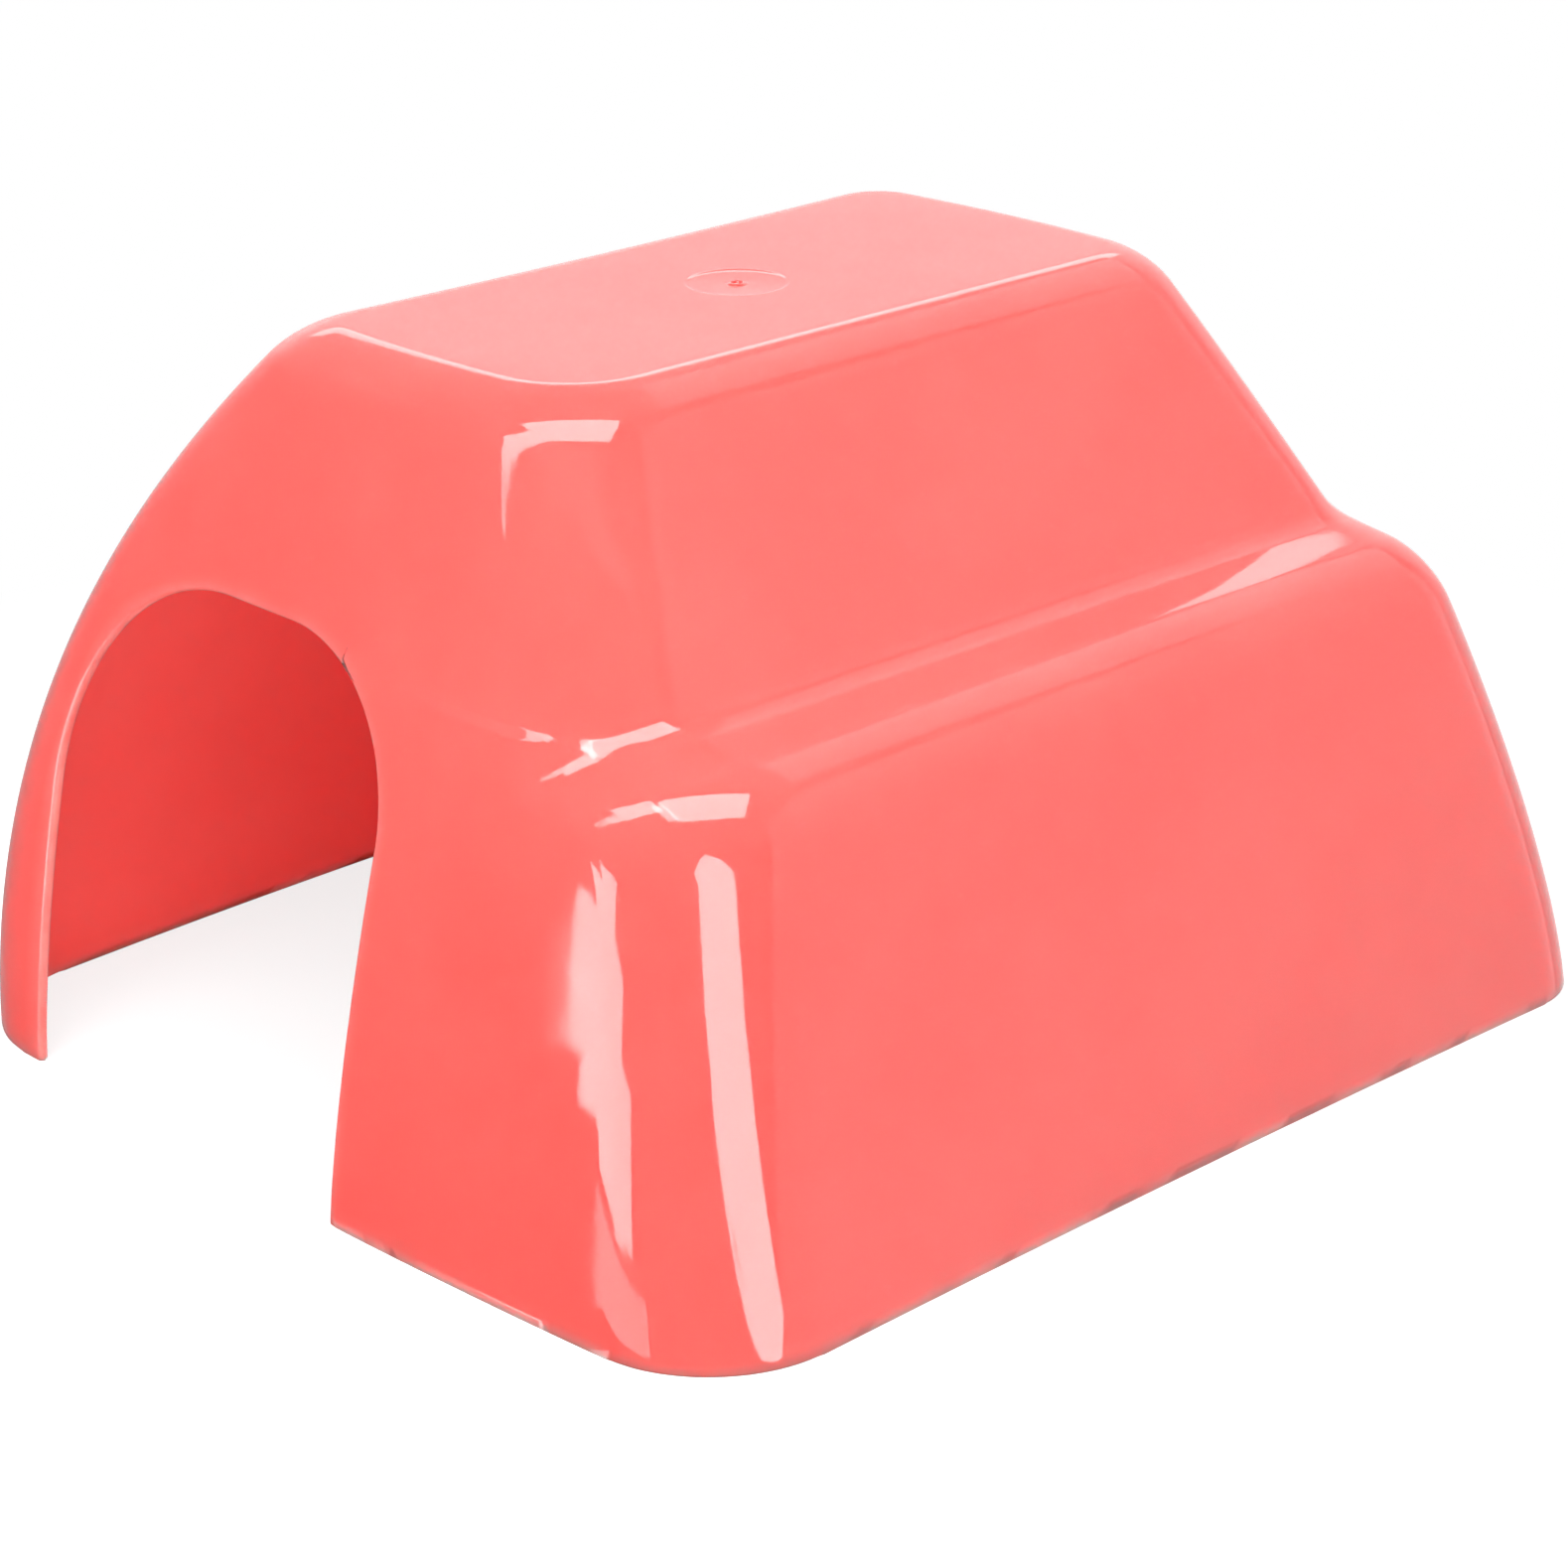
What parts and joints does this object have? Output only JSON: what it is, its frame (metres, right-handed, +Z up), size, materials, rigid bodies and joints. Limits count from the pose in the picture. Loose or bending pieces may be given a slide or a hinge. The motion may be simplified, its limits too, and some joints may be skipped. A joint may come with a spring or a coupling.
{
  "type": "guinea pig house",
  "caption": "Moulded plastic guinea pig house: leaning walls, a stepped side, an arched doorway at the front and an open underside.",
  "frame": {"origin": "centre of the house's footprint, on the floor", "axes": "+Z up, -Y out of the doorway, +X towards the stepped side"},
  "size_m": [0.214, 0.2389, 0.141],
  "materials": {
    "shell_plastic": "glossy coral red moulded plastic, slightly translucent, with soft handling marks"
  },
  "bodies": {
    "root": {"house_shell": "shell_plastic"}
  },
  "joints": []
}
